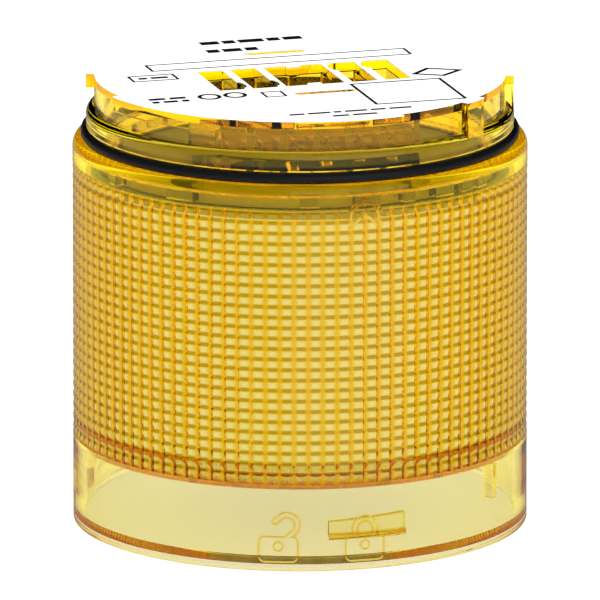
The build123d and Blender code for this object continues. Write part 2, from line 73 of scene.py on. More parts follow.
# ---- The same sizes as the CAD parts that these pieces replace
COLLAR_H = 1.45 * MM
SEAL_GAP = 0.02 * MM
STEP_D = 1.1 * MM
NECK_WALL = 1.2 * MM
NECK_STEP = 0.4 * MM
SLIP = 0.1 * MM
ROOF_T = 1.45 * MM
SHOULDER = 1.5 * MM
SMOOTH_H = 2.2 * MM
SEAT_RISE = 0.95 * MM
BAND_WALL = 1.65 * MM
RING_COUNT = 26
RING_DEPTH = 0.15 * MM
FLUTE_COUNT = 100
FLUTE_DEPTH = 0.3 * MM
FLANGE_T = 0.8 * MM
RIM_EDGE = 0.19 * MM
CHAMFER_H = 0.6 * MM
RIM_WALL = 0.5 * MM
EDGE_ROUND = 0.08 * MM
COUNTERBORE_H = 0.85 * MM
LEAD_H = 1.8 * MM
LAND_TOP = 3.85 * MM
RELIEF = 0.2 * MM
RECESS_H = 2.3 * MM
TOP_T = 1.25 * MM
KEY_H = 1.4 * MM
KEY_CLEAR = 0.15 * MM
LOCK_TURN = 22.0
LUGS = ((1.5, 21.0), (124.5, 24.0), (247.0, 27.0))
LUG_Z = 4.67 * MM
LUG_TOP = 6.89 * MM
LUG_HAUNCH = 0.76 * MM
LUG_SLOPE = 0.65 * MM
LUG_DEPTH = 1.05 * MM
GAP_PLAY = 0.75
STOP_END = 42.2
FREE_END = 70.0
GUARD_END = 80.0
BLOCK_INSET = 0.05 * MM
RIB_ANGLE = 43.64
RIB_HALF = 1.04
RIB_Z = 6.0 * MM
KEYS = ((-75.5, -72.5), (-53.5, -45.5), (-16.5, -11.5), (-2.0, 5.0),
        (11.5, 15.0), (21.5, 27.5), (30.5, 34.5), (36.5, 40.5))
LINE_COUNT = 6
LINE_PITCH = 4.52 * MM
WINDOW_W = 3.5 * MM
WINDOW_FRONT = -7.4 * MM
WINDOW_BACK = 4.0 * MM
NOTCH_W = 0.7 * MM
NOTCH_L = 3.5 * MM
NOTCH_IN = 0.8 * MM
TAB_W = 1.8 * MM
TAB_L = 1.0 * MM
SLOT_L = 8.4 * MM
SLOT_W = 1.5 * MM
SLOT_Y = 11.8 * MM
PADLOCK_HALF_W = 2.6 * MM
PADLOCK_HALF_H = 1.7 * MM
PADLOCK_MID = 2.9 * MM
PADLOCK_HIGH = 4.6 * MM
PADLOCK_ROUND = 0.8 * MM
KEYHOLE_R = 0.6 * MM
KEYHOLE_Z = 3.3 * MM
SHACKLE_R = 1.35 * MM
SHACKLE_LEG = 0.9 * MM
SHACKLE_HALF_LINE = 0.35 * MM
PADLOCKS = ((0.0, 0.0), (-LOCK_TURN, 50.0))     # place and lean of the shackle, in degrees
INDEX_DROP = 2.0 * MM       # how far the foot of the index mark is below the top of the band
INDEX_HALF_W = 2.0 * MM
CHEVRON_H = 1.8 * MM
INDEX_HALF_LINE = 0.22 * MM

# ---- Sizes and counts of this model alone
ARCH_R = 2.2 * MM
ARCH_LIFT = 0.9 * MM
MARK_DEPTH = 0.15 * MM
MARK_SLOPE = 0.06 * MM
SHADE_LINE_W = 0.24 * MM       # width of the painted shade line along the marks' and lugs' edges
BESIDE = 1.0                # degrees beside a lug or the rib that keep its levels
MARK_SPAN = (-28.5, 5.5, 0.15)          # angles that the padlocks take up, and the step there
MARK_ROWS = (0.9, 8.7, 0.1)             # heights that they take up, in millimetres, and the step
INDEX_SPAN = (-4.8, 4.8, 0.2)
INDEX_ROWS = (0.12, 1.5, 0.12)
RING_SEGMENTS = 4
INDEX_SEGMENTS = 12
INDEX_RINGS = 2             # rings of the band that the index mark reaches into

band_z = plate_z + FLANGE_T
neck_r = plug_r - STEP_D
tail_r = neck_r - NECK_STEP
seat_z = seal_low.z - SEAL_GAP
side_z = seat_z - SEAT_RISE
band_top = side_z - SMOOTH_H
roof_z = seat_z - ROOF_T
collar_z = seal_high.z + SEAL_GAP
collar_top = collar_z + COLLAR_H + STEP_D
rim_z = collar_top + RECESS_H
shade_line_turn = math.degrees(SHADE_LINE_W / bore_r)
top_under = top_z - TOP_T
root_r = body_r - BAND_WALL
rim_in = body_r - RIM_WALL
edge_in = body_r - RIM_EDGE
relief_r = bore_r + RELIEF
lug_r = bore_r - LUG_DEPTH
key_r = root_r - KEY_CLEAR
lip_in = seal_high.x + SEAL_GAP * 2
lip_out = lip_in + 0.1 * MM
gaps = [(mid - wide / 2 + LOCK_TURN - GAP_PLAY, mid + wide / 2 + LOCK_TURN + GAP_PLAY)
        for mid, wide in LUGS]
line_x = [(index - (LINE_COUNT - 1) / 2) * LINE_PITCH for index in range(LINE_COUNT)]


# ---------------------------------------------------------------- materials
PLASTIC_IOR = 1.58


def new_material(name):
    material = bpy.data.materials.new(name)
    material.use_nodes = True
    nodes = material.node_tree.nodes
    return material, nodes, material.node_tree.links, nodes["Principled BSDF"], nodes["Material Output"]


def vary(nodes, links, scale, detail=3.0):
    """A noise on the object's own coordinates."""
    place = nodes.new("ShaderNodeTexCoord")
    noise = nodes.new("ShaderNodeTexNoise")
    noise.inputs["Scale"].default_value = scale
    noise.inputs["Detail"].default_value = detail
    links.new(place.outputs["Object"], noise.inputs["Vector"])
    return noise


def vary_roughness(nodes, links, shader, scale, low, high):
    noise = vary(nodes, links, scale)
    spread = nodes.new("ShaderNodeMapRange")
    spread.inputs["From Min"].default_value = 0.3
    spread.inputs["From Max"].default_value = 0.7
    spread.inputs["To Min"].default_value = low
    spread.inputs["To Max"].default_value = high
    links.new(noise.outputs["Fac"], spread.inputs["Value"])
    links.new(spread.outputs["Result"], shader.inputs["Roughness"])


def add_bump(nodes, links, shader, scale, distance, strength=0.3):
    noise = vary(nodes, links, scale)
    bump = nodes.new("ShaderNodeBump")
    bump.inputs["Strength"].default_value = strength
    bump.inputs["Distance"].default_value = distance
    links.new(noise.outputs["Fac"], bump.inputs["Height"])
    links.new(bump.outputs["Normal"], shader.inputs["Normal"])


def maths(nodes, links, operation, first, second=None):
    """A maths node. Each input is a number or a socket."""
    node = nodes.new("ShaderNodeMath")
    node.operation = operation
    for index, value in enumerate((first, second)):
        if isinstance(value, (int, float)):
            node.inputs[index].default_value = value
        elif value is not None:
            links.new(value, node.inputs[index])
    return node.outputs["Value"]


def smooth(nodes, links, value, start, end):
    """Rises from 0 to 1 between start and end."""
    node = nodes.new("ShaderNodeMapRange")
    node.interpolation_type = "SMOOTHSTEP"
    node.inputs["From Min"].default_value = start
    node.inputs["From Max"].default_value = end
    links.new(value, node.inputs["Value"])
    return node.outputs["Result"]


def blend(nodes, links, share, first, second):
    """Mixes two colours. Each is a colour or a socket."""
    node = nodes.new("ShaderNodeMix")
    node.data_type = "RGBA"
    links.new(share, node.inputs["Factor"])
    for name, value in (("A", first), ("B", second)):
        socket = next(i for i in node.inputs if i.name == name and i.type == "RGBA")
        if isinstance(value, tuple):
            socket.default_value = (*value, 1.0)
        else:
            links.new(value, socket)
    return next(o for o in node.outputs if o.type == "RGBA")


def prism_painted_shade(material):
    """Paints shade into the grooves between the prisms, the smooth strip and shoulder above them, and the
    marks' edges.

    There the light has come a long way round through the wall; the darker colours are painted shade for it.
    """
    nodes, links = material.node_tree.nodes, material.node_tree.links
    place = nodes.new("ShaderNodeTexCoord")
    split = nodes.new("ShaderNodeSeparateXYZ")
    links.new(place.outputs["Object"], split.inputs["Vector"])
    x, y, z = (split.outputs[axis] for axis in "XYZ")
    turn = maths(nodes, links, "ARCTAN2", x, maths(nodes, links, "MULTIPLY", y, -1.0))
    column = maths(nodes, links, "MULTIPLY", turn, FLUTE_COUNT / (2 * math.pi))
    ring_pitch = (band_top - band_z) / RING_COUNT
    row = maths(nodes, links, "DIVIDE", maths(nodes, links, "SUBTRACT", z, band_z), ring_pitch)
    from_flute = maths(nodes, links, "PINGPONG", column, 0.5)
    from_ring = maths(nodes, links, "PINGPONG", row, 0.5)
    radius = maths(nodes, links, "SQRT", maths(nodes, links, "ADD", maths(nodes, links, "MULTIPLY", x, x),
                                               maths(nodes, links, "MULTIPLY", y, y)))
    # Painted shade: the flutes and rings darker and deeper in colour, the crossings darkest, the cell centres
    # left plain.
    upright = blend(nodes, links, smooth(nodes, links, from_flute, *FLUTE_FADE), FLUTE_SHADE, CELL_SHADE)
    level = blend(nodes, links, smooth(nodes, links, from_flute, *CROSS_FADE), CROSS_SHADE, RING_SHADE)
    grid = blend(nodes, links, smooth(nodes, links, from_ring, *RING_FADE), level, upright)
    core = maths(nodes, links, "MULTIPLY", smooth(nodes, links, from_flute, *CORE_FADE),
                 smooth(nodes, links, from_ring, *CORE_FADE))
    grid = blend(nodes, links, core, grid, CLEAR)
    outside = maths(nodes, links, "GREATER_THAN", radius, body_r - 3 * RING_DEPTH)
    above = maths(nodes, links, "GREATER_THAN", z, band_z)
    below = maths(nodes, links, "LESS_THAN", z, band_top)
    inside_band = maths(nodes, links, "MULTIPLY", outside, maths(nodes, links, "MULTIPLY", above, below))
    # Painted shade: the smooth strip and shoulder above the band are coloured a deeper amber.
    on_shoulder = maths(nodes, links, "GREATER_THAN", z, band_top)
    plain = blend(nodes, links, on_shoulder, CLEAR, SMOOTH_SHADE)
    # Painted shade along the edges of the moulded marks and the lugs.
    edge = nodes.new("ShaderNodeAttribute")
    edge.attribute_name = "mark_edge_shade"
    surface = blend(nodes, links, inside_band, plain, grid)
    colour = blend(nodes, links, edge.outputs["Fac"], surface, EDGE_SHADE)
    links.new(colour, nodes["Principled BSDF"].inputs["Base Color"])


def key_painted_shade(material):
    """Paints shade on the snap keys round the neck's tail, where light is caught between the walls."""
    nodes, links = material.node_tree.nodes, material.node_tree.links
    place = nodes.new("ShaderNodeTexCoord")
    split = nodes.new("ShaderNodeSeparateXYZ")
    links.new(place.outputs["Object"], split.inputs["Vector"])
    x, y, z = (split.outputs[axis] for axis in "XYZ")
    radius = maths(nodes, links, "SQRT", maths(nodes, links, "ADD", maths(nodes, links, "MULTIPLY", x, x),
                                               maths(nodes, links, "MULTIPLY", y, y)))
    outside = maths(nodes, links, "GREATER_THAN", radius, (tail_r + key_r) / 2)
    below = maths(nodes, links, "LESS_THAN", z, roof_z)
    on_key = maths(nodes, links, "MULTIPLY", outside, below)
    links.new(blend(nodes, links, on_key, NECK_TINT, KEY_SHADE), nodes["Principled BSDF"].inputs["Base Color"])


def clear_plastic(name, tint, absorb, density, low, high):
    """Tinted polycarbonate: each surface tints a little, and the length of plastic does the rest."""
    material, nodes, links, shader, out = new_material(name)
    shader.inputs["Base Color"].default_value = (*tint, 1.0)
    shader.inputs["Transmission Weight"].default_value = 1.0
    shader.inputs["IOR"].default_value = PLASTIC_IOR
    vary_roughness(nodes, links, shader, 180.0, low, high)
    volume = nodes.new("ShaderNodeVolumeAbsorption")
    volume.inputs["Color"].default_value = (*absorb, 1.0)
    volume.inputs["Density"].default_value = density
    links.new(volume.outputs["Volume"], out.inputs["Volume"])
    return material


def solid_plastic(name, colour, low, high, bump=0.0, bump_scale=3000.0):
    """An opaque moulding, board, film or rubber with a fine surface grain."""
    material, nodes, links, shader, _ = new_material(name)
    tint = vary(nodes, links, 260.0)
    ramp = nodes.new("ShaderNodeValToRGB")
    ramp.color_ramp.elements[0].position = 0.3
    ramp.color_ramp.elements[1].position = 0.7
    ramp.color_ramp.elements[0].color = (*(c * 0.94 for c in colour), 1.0)
    ramp.color_ramp.elements[1].color = (*colour, 1.0)
    links.new(tint.outputs["Fac"], ramp.inputs["Fac"])
    links.new(ramp.outputs["Color"], shader.inputs["Base Color"])
    vary_roughness(nodes, links, shader, 420.0, low, high)
    if bump:
        add_bump(nodes, links, shader, bump_scale, bump)
    return material


def metal(name, colour, low, high):
    material = solid_plastic(name, colour, low, high, bump=0.01 * MM, bump_scale=5000.0)
    material.node_tree.nodes["Principled BSDF"].inputs["Metallic"].default_value = 1.0
    return material


CLEAR = (0.94, 0.895, 0.77)
AMBER = (0.98, 0.925, 0.02)
NECK_TINT = (1.0, 0.84, 0.30)
NECK_AMBER = (0.998, 0.96, 0.02)
# Painted shade of the smooth strip and shoulder above the prism band.
SMOOTH_SHADE = (1.0, 0.92, 0.16)
# Painted shade of the prism grid: the cells, flutes, crossings and rings.
CELL_SHADE = (0.90, 0.70, 0.16)
FLUTE_SHADE = (0.82, 0.50, 0.004)
CROSS_SHADE = (0.80, 0.36, 0.0)
RING_SHADE = (0.32, 0.18, 0.0)
# Painted shade along the edges of the marks and lugs.
EDGE_SHADE = (0.80, 0.56, 0.06)
# Painted shade on the neck's snap keys.
KEY_SHADE = (0.36, 0.30, 0.03)
# Widths over which the painted shade lines fade, as a share of a flute or a ring.
FLUTE_FADE = (0.06, 0.26)
CROSS_FADE = (0.08, 0.24)
RING_FADE = (0.12, 0.26)
CORE_FADE = (0.22, 0.38)
LENS_DENSITY = 350.0
NECK_DENSITY = 260.0
LENS_ROUGHNESS = (0.015, 0.035)
NECK_ROUGHNESS = (0.02, 0.05)
SLEEVE_GLOW = 0.53
FILM_GLOW = 0.22
amber_lens = clear_plastic("amber_lens", CLEAR, AMBER, LENS_DENSITY, *LENS_ROUGHNESS)
amber_neck = clear_plastic("amber_neck", NECK_TINT, NECK_AMBER, NECK_DENSITY, *NECK_ROUGHNESS)
# The prism band's material has painted shade along its grooves, smooth strip, shoulder and mark edges.
amber_prisms = clear_plastic("amber_prisms", CLEAR, AMBER, LENS_DENSITY, *LENS_ROUGHNESS)
prism_painted_shade(amber_prisms)
# Painted shade on the neck's snap keys.
key_painted_shade(amber_neck)
materials = {
    "amber_lens": amber_lens,
    "amber_neck": amber_neck,
    "amber_plate": amber_lens,
    "seal_rubber": solid_plastic("seal_rubber", (0.006, 0.0065, 0.008), 0.32, 0.42, 0.004 * MM),
    "label_film": solid_plastic("label_film", (0.93, 0.93, 0.93), 0.35, 0.45, 0.002 * MM),
    "diffuser_white": solid_plastic("diffuser_white", (0.7, 0.69, 0.66), 0.5, 0.6, 0.01 * MM),
    "board_mask": solid_plastic("board_mask", (0.55, 0.62, 0.5), 0.35, 0.45, 0.01 * MM),
    "board_white": solid_plastic("board_white", (0.9, 0.9, 0.87), 0.35, 0.45, 0.01 * MM),
    "led_package": solid_plastic("led_package", (0.93, 0.8, 0.3), 0.2, 0.3),
    "header_plastic": solid_plastic("header_plastic", (0.85, 0.82, 0.72), 0.4, 0.5, 0.01 * MM),
    "reflector_white": solid_plastic("reflector_white", (0.93, 0.93, 0.9), 0.45, 0.55, 0.01 * MM),
    "component_black": solid_plastic("component_black", (0.03, 0.03, 0.032), 0.4, 0.5, 0.01 * MM),
    "capacitor_can": metal("capacitor_can", (0.78, 0.79, 0.8), 0.25, 0.35),
    "component_ceramic": solid_plastic("component_ceramic", (0.5, 0.45, 0.36), 0.5, 0.6, 0.01 * MM),
    "screw_steel": metal("screw_steel", (0.7, 0.7, 0.71), 0.3, 0.4),
    "contact_brass": metal("contact_brass", (0.88, 0.86, 0.8), 0.25, 0.35),
    "spring_bronze": metal("spring_bronze", (0.85, 0.72, 0.5), 0.2, 0.3),
}
# A faint light of their own stands in for light scattered through the sleeve and the film.
sleeve = materials["diffuser_white"].node_tree.nodes["Principled BSDF"]
sleeve.inputs["Emission Color"].default_value = (1.0, 0.98, 0.94, 1.0)
sleeve.inputs["Emission Strength"].default_value = SLEEVE_GLOW
film = materials["label_film"].node_tree.nodes["Principled BSDF"]
film.inputs["Specular IOR Level"].default_value = 0.0
film.inputs["Emission Color"].default_value = (1.0, 1.0, 1.0, 1.0)
film.inputs["Emission Strength"].default_value = FILM_GLOW
ink = solid_plastic("print_ink", (0.012, 0.012, 0.014), 0.4, 0.5)

for row in frame["record"]["subparts"]:
    node = frame["nodes"][row["node"]]
    node.data.materials.clear()
    node.data.materials.append(materials[row["material_slot"]])


# ---------------------------------------------------------------- meshes from rings
def spread_angles(count, *fine, steps=()):
    """Angles all round, closer together in each fine range (start, end, step), and doubled at steps."""
    angles = {round(index * 360 / count, 6) for index in range(count)}
    for start, end, step in fine:
        many = int(round((end - start) / step))
        angles |= {round((start + index * step) % 360, 6) for index in range(many + 1)}
    for step in steps:
        angles |= {round((step - 0.01) % 360, 6), round((step + 0.01) % 360, 6)}
    return np.array(sorted(angles))


def ring(angles, radius, height):
    """The points of one ring. Radius and height may differ from angle to angle."""
    turn = np.radians(angles)
    radius = np.broadcast_to(radius, angles.shape)
    height = np.broadcast_to(height, angles.shape)
    return np.stack([radius * np.sin(turn), -radius * np.cos(turn), height], 1)


def bridge(angles_a, start_a, angles_b, start_b):
    """Faces between two rings: quads where their angles agree, and triangles where they don't."""
    count_a, count_b = len(angles_a), len(angles_b)
    if count_a == count_b and np.array_equal(angles_a, angles_b):
        return [(start_a + i, start_a + (i + 1) % count_a, start_b + (i + 1) % count_a, start_b + i)
                for i in range(count_a)]
    faces = []
    i = j = 0
    while i < count_a or j < count_b:
        next_a = angles_a[i + 1] if i + 1 < count_a else angles_a[0] + 360 if i < count_a else 1e9
        next_b = angles_b[j + 1] if j + 1 < count_b else angles_b[0] + 360 if j < count_b else 1e9
        a, b = start_a + i % count_a, start_b + j % count_b
        if next_a <= next_b:
            faces.append((a, start_a + (i + 1) % count_a, b))
            i += 1
        else:
            faces.append((a, start_b + (j + 1) % count_b, b))
            j += 1
    return faces


def ring_mesh(rings, closed=True):
    """Points and faces of a body described by rings (angles, radius, height), outside first, going up."""
    points, faces, starts = [], [], []
    total = 0
    for angles, radius, height in rings:
        starts.append(total)
        points.append(ring(angles, radius, height))
        total += len(angles)
    last = len(rings) if closed else len(rings) - 1
    for index in range(last):
        other = (index + 1) % len(rings)
        faces += bridge(rings[index][0], starts[index], rings[other][0], starts[other])
    return np.concatenate(points), faces, starts


def make_piece(name, points, faces, material, replaced=(), sharp=28.0, weld=2e-7):
    """A mesh piece that rides on the module's body, with its normals smoothed except at sharp edges."""
    mesh = bpy.data.meshes.new(name)
    mesh.from_pydata([tuple(p) for p in points], [], faces)
    shape = bmesh.new()
    shape.from_mesh(mesh)
    bmesh.ops.remove_doubles(shape, verts=shape.verts, dist=weld)
    bmesh.ops.dissolve_degenerate(shape, edges=shape.edges, dist=weld)
    bmesh.ops.recalc_face_normals(shape, faces=shape.faces)
    shape.to_mesh(mesh)
    shape.free()
    mesh.shade_smooth()
    mesh.set_sharp_from_angle(angle=math.radians(sharp))
    mesh.materials.append(material)
    piece = bpy.data.objects.new(name, mesh)
    bpy.context.collection.objects.link(piece)
    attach(piece, BODY)
    if replaced:
        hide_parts(*replaced)
    return piece


# ---------------------------------------------------------------- moulded marks
def box_distance(x, y, half_x, half_y, corner):
    """Signed distance to a rounded rectangle about the origin."""
    dx = np.abs(x) - half_x + corner
    dy = np.abs(y) - half_y + corner
    outside = np.hypot(np.maximum(dx, 0), np.maximum(dy, 0))
    return outside + np.minimum(np.maximum(dx, dy), 0) - corner


def arch_distance(x, y, reach, base, half_line):
    """Signed distance to a band along two legs and the half circle that joins them."""
    bend = base + SHACKLE_LEG
    on_arc = np.abs(np.hypot(x, np.maximum(y - bend, 0)) - reach)
    on_leg = np.hypot(np.abs(x) - reach, np.maximum(base - y, 0))
    return np.where(y > bend, on_arc, on_leg) - half_line


def segment_distance(x, y, start, end):
    ax, ay = start
    bx, by = end[0] - ax, end[1] - ay
    t = np.clip(((x - ax) * bx + (y - ay) * by) / (bx * bx + by * by), 0, 1)
    return np.hypot(x - ax - t * bx, y - ay - t * by)


def padlock_distance(x, y, lean):
    """Signed distance to a plain padlock: a body with a keyhole, and a shackle turned by lean degrees."""
    shell = box_distance(x, y - PADLOCK_MID, PADLOCK_HALF_W, PADLOCK_HALF_H, PADLOCK_ROUND)
    hole = np.hypot(x, y - KEYHOLE_Z) - KEYHOLE_R
    shell = np.maximum(shell, -hole)
    turn = math.radians(lean)
    dx, dy = x - SHACKLE_R, y - PADLOCK_HIGH
    turned_x = SHACKLE_R + dx * math.cos(turn) - dy * math.sin(turn)
    turned_y = PADLOCK_HIGH + dx * math.sin(turn) + dy * math.cos(turn)
    shackle = arch_distance(turned_x, turned_y, SHACKLE_R, PADLOCK_HIGH, SHACKLE_HALF_LINE)
    return np.minimum(shell, shackle)


def index_distance(x, y):
    """Signed distance to the index mark: an arch over a chevron."""
    low = band_top - INDEX_DROP
    left = segment_distance(x, y, (-INDEX_HALF_W, low), (0, low + CHEVRON_H))
    right = segment_distance(x, y, (0, low + CHEVRON_H), (INDEX_HALF_W, low))
    arc = np.where(y > low + ARCH_LIFT, np.abs(np.hypot(x, y - low - ARCH_LIFT) - ARCH_R), 1.0)
    return np.minimum(np.minimum(left, right), arc) - INDEX_HALF_LINE


def sunk(distance, edge=MARK_SLOPE):
    """How deep a mark is sunk at this signed distance, with a slightly sloped edge."""
    t = np.clip((edge - distance) / (2 * edge), 0, 1)
    return MARK_DEPTH * t * t * (3 - 2 * t)


def skirt_marks(angles, height):
    depth = np.zeros_like(angles)
    for angle, lean in PADLOCKS:
        x = np.radians((angles - angle + 180) % 360 - 180) * body_r
        depth = np.maximum(depth, sunk(padlock_distance(x, height, lean)))
    return depth


def band_mark(angles, height):
    x = np.radians((angles + 180) % 360 - 180) * body_r
    return sunk(index_distance(x, height))


# ---------------------------------------------------------------- lens
def in_span(angles, start, end):
    return ((angles - start) % 360) < ((end - start) % 360)


def skirt_steps(angles):
    """The step that a lug or the stop rib makes inside the skirt.

    Gives its radius, or 0 where there is none, and the heights of its root, of its underside and of its top.
    """
    radius = np.full_like(angles, 0.0)
    root = np.full_like(angles, LUG_Z - LUG_HAUNCH)
    low = np.full_like(angles, LUG_Z)
    high = np.full_like(angles, LUG_TOP)
    for mid, wide in LUGS:
        along = (angles - mid + 180) % 360 - 180
        radius = np.where(np.abs(along) <= wide / 2, lug_r, radius)
        near = np.abs(along) <= wide / 2 + BESIDE
        high = np.where(near, LUG_TOP - LUG_SLOPE * (0.5 - np.clip(along / wide, -0.5, 0.5)), high)
    radius = np.where(in_span(angles, RIB_ANGLE - RIB_HALF, RIB_ANGLE + RIB_HALF), lug_r, radius)
    rib = in_span(angles, RIB_ANGLE - RIB_HALF - BESIDE, RIB_ANGLE + RIB_HALF + BESIDE)
    root = np.where(rib, RIB_Z, root)
    low = np.where(rib, RIB_Z, low)
    high = np.where(rib, plate_z - RELIEF, high)
    return radius, root, low, high


def draft_r(height):
    """Radius of the skirt's inner wall, which widens from the land up to the floor plate."""
    return bore_r + RELIEF * (height - LAND_TOP) / (plate_z - LAND_TOP)


def lens_rings():
    plain = spread_angles(300)
    marked = spread_angles(240, MARK_SPAN)
    headed = spread_angles(300, INDEX_SPAN)
    fluted = spread_angles(FLUTE_COUNT * 6)
    lug_edges = [mid + side * wide / 2 for mid, wide in LUGS for side in (-1, 1)]
    insets = [mid + side * (wide / 2 - shade_line_turn) for mid, wide in LUGS for side in (-1, 1)]
    stepped = spread_angles(240, steps=lug_edges + insets + [RIB_ANGLE - RIB_HALF, RIB_ANGLE + RIB_HALF])

    rings = [(marked, edge_in, 0.0)]
    for share in (0.0, 0.5, 1.0):
        turn = share * math.pi / 2
        radius = body_r - EDGE_ROUND + EDGE_ROUND * math.sin(turn)
        rings.append((marked, radius, EDGE_ROUND - EDGE_ROUND * math.cos(turn)))
    for height in np.arange(*MARK_ROWS) * MM:
        rings.append((marked, body_r - skirt_marks(marked, height), height))
    rings.append((marked, body_r, band_z))

    pitch = (band_top - band_z) / RING_COUNT
    for index in range(RING_COUNT):
        marked_ring = index >= RING_COUNT - INDEX_RINGS
        angles = headed if marked_ring else plain
        segments = INDEX_SEGMENTS if marked_ring else RING_SEGMENTS
        first = 0 if index in (0, RING_COUNT - INDEX_RINGS) else 1
        for part in range(first, segments + 1):
            share = part / segments
            height = band_z + (index + share) * pitch
            radius = body_r - RING_DEPTH * (2 * share - 1) ** 2
            if marked_ring:
                radius = radius - band_mark(angles, height)
            rings.append((angles, radius, height))
    rings.append((headed, body_r - band_mark(headed, band_top), band_top))
    for height in np.arange(*INDEX_ROWS) * MM:
        rings.append((headed, body_r - band_mark(headed, band_top + height), band_top + height))
    rings.append((plain, body_r, side_z))
    end = math.acos((lip_out - body_r + SHOULDER) / SHOULDER)
    for part in range(1, 9):
        turn = end * part / 8
        radius = body_r - SHOULDER + SHOULDER * math.cos(turn)
        rings.append((plain, radius, side_z + SHOULDER * math.sin(turn)))
    rings += [(plain, lip_in, lip_z), (plain, lip_in, seat_z), (plain, tail_r + SLIP, seat_z),
              (plain, tail_r + SLIP, roof_z), (plain, root_r, roof_z), (plain, root_r, band_top)]
    share = (fluted / (360 / FLUTE_COUNT)) % 1
    flute_r = root_r - FLUTE_DEPTH * (1 - (2 * share - 1) ** 2)
    rings += [(fluted, flute_r, band_top), (fluted, flute_r, band_z)]

    radius, root, low, high = skirt_steps(stepped)
    low_r = np.where(radius > 0, radius, draft_r(low))
    high_r = np.where(radius > 0, radius, draft_r(high))
    rings += [(stepped, bore_r, band_z), (stepped, bore_r, plate_z), (stepped, relief_r, plate_z),
              (stepped, draft_r(high), high), (stepped, high_r, high),
              (stepped, np.where(radius > 0, radius, draft_r(high - SHADE_LINE_W)), high - SHADE_LINE_W),
              (stepped, np.where(radius > 0, radius, draft_r(low + SHADE_LINE_W)), low + SHADE_LINE_W),
              (stepped, low_r, low), (stepped, draft_r(root), root), (stepped, bore_r, LAND_TOP),
              (stepped, bore_r, LEAD_H), (stepped, rim_in, COUNTERBORE_H), (stepped, rim_in, CHAMFER_H)]
    return rings


def note_marks(piece):
    """Stores on each point of the lens how near it is to the edge of a mark or a lug, for the painted shade
    there.
    """
    mesh = piece.data
    points = np.empty(len(mesh.vertices) * 3)
    mesh.vertices.foreach_get("co", points)
    x, y, z = points.reshape(-1, 3).T
    angles = np.degrees(np.arctan2(x, -y))
    near = np.full(len(x), 1.0)
    for angle, lean in PADLOCKS:
        along = np.radians(angles - angle) * body_r
        near = np.minimum(near, np.abs(padlock_distance(along, z, lean)))
    near = np.minimum(near, np.abs(index_distance(np.radians(angles) * body_r, z)))
    line = np.clip((SHADE_LINE_W - near) / (SHADE_LINE_W / 2), 0, 1)
    radius = np.hypot(x, y)
    line = np.where((radius > body_r - 0.5 * MM) & (np.abs(angles) < 45), line, 0)
    # The edges of the lugs inside the skirt get the same painted shade line.
    for mid, wide in LUGS:
        along = (angles - mid + 180) % 360 - 180
        top = LUG_TOP - LUG_SLOPE * (0.5 - along / wide)
        to_side = wide / 2 - np.abs(along)
        on_lug = (radius < bore_r - LUG_DEPTH / 2) & (to_side > -0.02)
        on_lug &= (z > LUG_Z - SEAL_GAP) & (z < top + SEAL_GAP)
        on_edge = (z < LUG_Z + SEAL_GAP) | (z > top - SEAL_GAP) | (to_side < shade_line_turn / 2)
        line = np.where(on_lug & on_edge, 1.0, line)
    mesh.attributes.new("mark_edge_shade", "FLOAT", "POINT").data.foreach_set("value", line)


lens_points, lens_faces, _ = ring_mesh(lens_rings())
lens_piece = make_piece("lens_shell", lens_points, lens_faces, amber_prisms, ("lens",))
note_marks(lens_piece)


# ---------------------------------------------------------------- flat outlines with holes
def arc_points(mid_x, mid_y, radius_x, radius_y, start, end, count):
    turns = [math.radians(start + (end - start) * i / count) for i in range(count + 1)]
    return [(mid_x + radius_x * math.cos(turn), mid_y + radius_y * math.sin(turn)) for turn in turns]


def box_outline(low_x, low_y, high_x, high_y):
    return [(low_x, low_y), (high_x, low_y), (high_x, high_y), (low_x, high_y)]


def slot_outline(mid_x, mid_y, length, width):
    half = (length - width) / 2
    return (arc_points(mid_x + half, mid_y, width / 2, width / 2, -90, 90, 10)
            + arc_points(mid_x - half, mid_y, width / 2, width / 2, 90, 270, 10))


def window_outlines():
    """The four single windows with their notches, the joined middle one with its tabs, and the vents."""
    outlines = []
    half = WINDOW_W / 2
    for index, x in enumerate(line_x):
        if index < LINE_COUNT // 2 - 1:
            notch_y = WINDOW_FRONT + NOTCH_L / 2 + NOTCH_IN
            bite = arc_points(x + half, notch_y, NOTCH_W, NOTCH_L / 2, -90, 90, 12)
            outlines.append([(x - half, WINDOW_FRONT), (x + half, WINDOW_FRONT)] + bite
                            + [(x + half, WINDOW_BACK), (x - half, WINDOW_BACK)])
        if index > LINE_COUNT // 2:
            notch_y = WINDOW_BACK - NOTCH_L / 2 - NOTCH_IN
            bite = arc_points(x - half, notch_y, NOTCH_W, NOTCH_L / 2, 90, 270, 12)
            outlines.append([(x - half, WINDOW_FRONT), (x + half, WINDOW_FRONT), (x + half, WINDOW_BACK),
                             (x - half, WINDOW_BACK)] + bite)
    wide = LINE_PITCH / 2 + half
    tab = TAB_W / 2
    outlines.append([(-wide, WINDOW_FRONT), (-tab, WINDOW_FRONT), (-tab, WINDOW_FRONT + TAB_L),
                     (tab, WINDOW_FRONT + TAB_L), (tab, WINDOW_FRONT), (wide, WINDOW_FRONT),
                     (wide, WINDOW_BACK), (tab, WINDOW_BACK), (tab, WINDOW_BACK - TAB_L),
                     (-tab, WINDOW_BACK - TAB_L), (-tab, WINDOW_BACK), (-wide, WINDOW_BACK)])
    outlines += [slot_outline(0, SLOT_Y, SLOT_L, SLOT_W), slot_outline(0, -SLOT_Y, SLOT_L, SLOT_W)]
    return outlines


